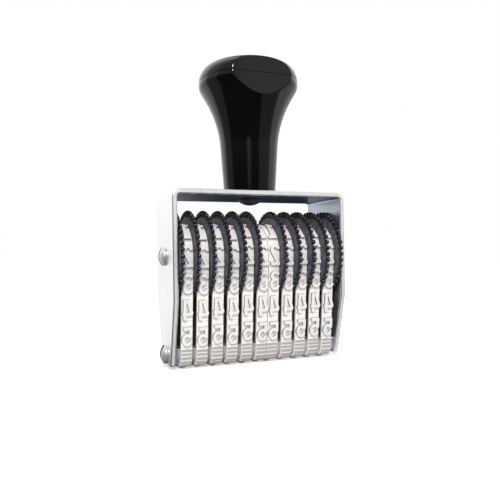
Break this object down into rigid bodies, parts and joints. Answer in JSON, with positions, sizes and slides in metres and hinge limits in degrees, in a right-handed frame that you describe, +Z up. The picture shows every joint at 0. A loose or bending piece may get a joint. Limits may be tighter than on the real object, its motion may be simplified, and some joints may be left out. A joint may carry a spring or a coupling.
{
  "type": "band numbering stamp",
  "caption": "Hand-set rubber-band numbering stamp: thumb wheels and number bands in a bent steel frame under a mushroom handle.",
  "frame": {"origin": "middle of the printing faces, at the foot of the stamp", "axes": "+X along the row of bands to the right as the bands are set, +Y away from the user, +Z up through the handle"},
  "size_m": [0.0488, 0.0246, 0.0789],
  "materials": {
    "chromed_sheet": "bright chromed steel strip",
    "chromed_bar": "bright chromed steel bar",
    "bright_steel": "bright drawn steel",
    "screw_steel": "nickel plated",
    "insert_brass": "plain brass",
    "black_handle": "polished black moulding",
    "wheel_plastic": "satin black moulding",
    "band_rubber": "off-white moulded rubber"
  },
  "bodies": {
    "stamp": {"frame": "chromed_sheet", "axle": "bright_steel", "platen": "chromed_bar", "axle_screws": "screw_steel", "platen_screws": "screw_steel", "handle_screw": "screw_steel", "handle": "black_handle", "handle_cap": "black_handle", "handle_insert": "insert_brass", "band_01": "band_rubber", "band_02": "band_rubber", "band_03": "band_rubber", "band_04": "band_rubber", "band_05": "band_rubber", "band_06": "band_rubber", "band_07": "band_rubber", "band_08": "band_rubber", "band_09": "band_rubber", "band_10": "band_rubber", "band_11": "band_rubber"},
    "wheel_01": {"wheel_01": "wheel_plastic"},
    "wheel_02": {"wheel_02": "wheel_plastic"},
    "wheel_03": {"wheel_03": "wheel_plastic"},
    "wheel_04": {"wheel_04": "wheel_plastic"},
    "wheel_05": {"wheel_05": "wheel_plastic"},
    "wheel_06": {"wheel_06": "wheel_plastic"},
    "wheel_07": {"wheel_07": "wheel_plastic"},
    "wheel_08": {"wheel_08": "wheel_plastic"},
    "wheel_09": {"wheel_09": "wheel_plastic"},
    "wheel_10": {"wheel_10": "wheel_plastic"},
    "wheel_11": {"wheel_11": "wheel_plastic"}
  },
  "joints": [
    {"name": "wheel_01_turn", "type": "hinge", "parent": "stamp", "child": "wheel_01", "pos_m": [-0.0195, 0, 0.0277], "axis": [1, 0, 0], "continuous": true},
    {"name": "wheel_02_turn", "type": "hinge", "parent": "stamp", "child": "wheel_02", "pos_m": [-0.0156, 0, 0.0277], "axis": [1, 0, 0], "continuous": true},
    {"name": "wheel_03_turn", "type": "hinge", "parent": "stamp", "child": "wheel_03", "pos_m": [-0.0117, 0, 0.0277], "axis": [1, 0, 0], "continuous": true},
    {"name": "wheel_04_turn", "type": "hinge", "parent": "stamp", "child": "wheel_04", "pos_m": [-0.0078, 0, 0.0277], "axis": [1, 0, 0], "continuous": true},
    {"name": "wheel_05_turn", "type": "hinge", "parent": "stamp", "child": "wheel_05", "pos_m": [-0.0039, 0, 0.0277], "axis": [1, 0, 0], "continuous": true},
    {"name": "wheel_06_turn", "type": "hinge", "parent": "stamp", "child": "wheel_06", "pos_m": [0, 0, 0.0277], "axis": [1, 0, 0], "continuous": true},
    {"name": "wheel_07_turn", "type": "hinge", "parent": "stamp", "child": "wheel_07", "pos_m": [0.0039, 0, 0.0277], "axis": [1, 0, 0], "continuous": true},
    {"name": "wheel_08_turn", "type": "hinge", "parent": "stamp", "child": "wheel_08", "pos_m": [0.0078, 0, 0.0277], "axis": [1, 0, 0], "continuous": true},
    {"name": "wheel_09_turn", "type": "hinge", "parent": "stamp", "child": "wheel_09", "pos_m": [0.0117, 0, 0.0277], "axis": [1, 0, 0], "continuous": true},
    {"name": "wheel_10_turn", "type": "hinge", "parent": "stamp", "child": "wheel_10", "pos_m": [0.0156, 0, 0.0277], "axis": [1, 0, 0], "continuous": true},
    {"name": "wheel_11_turn", "type": "hinge", "parent": "stamp", "child": "wheel_11", "pos_m": [0.0195, 0, 0.0277], "axis": [1, 0, 0], "continuous": true}
  ]
}
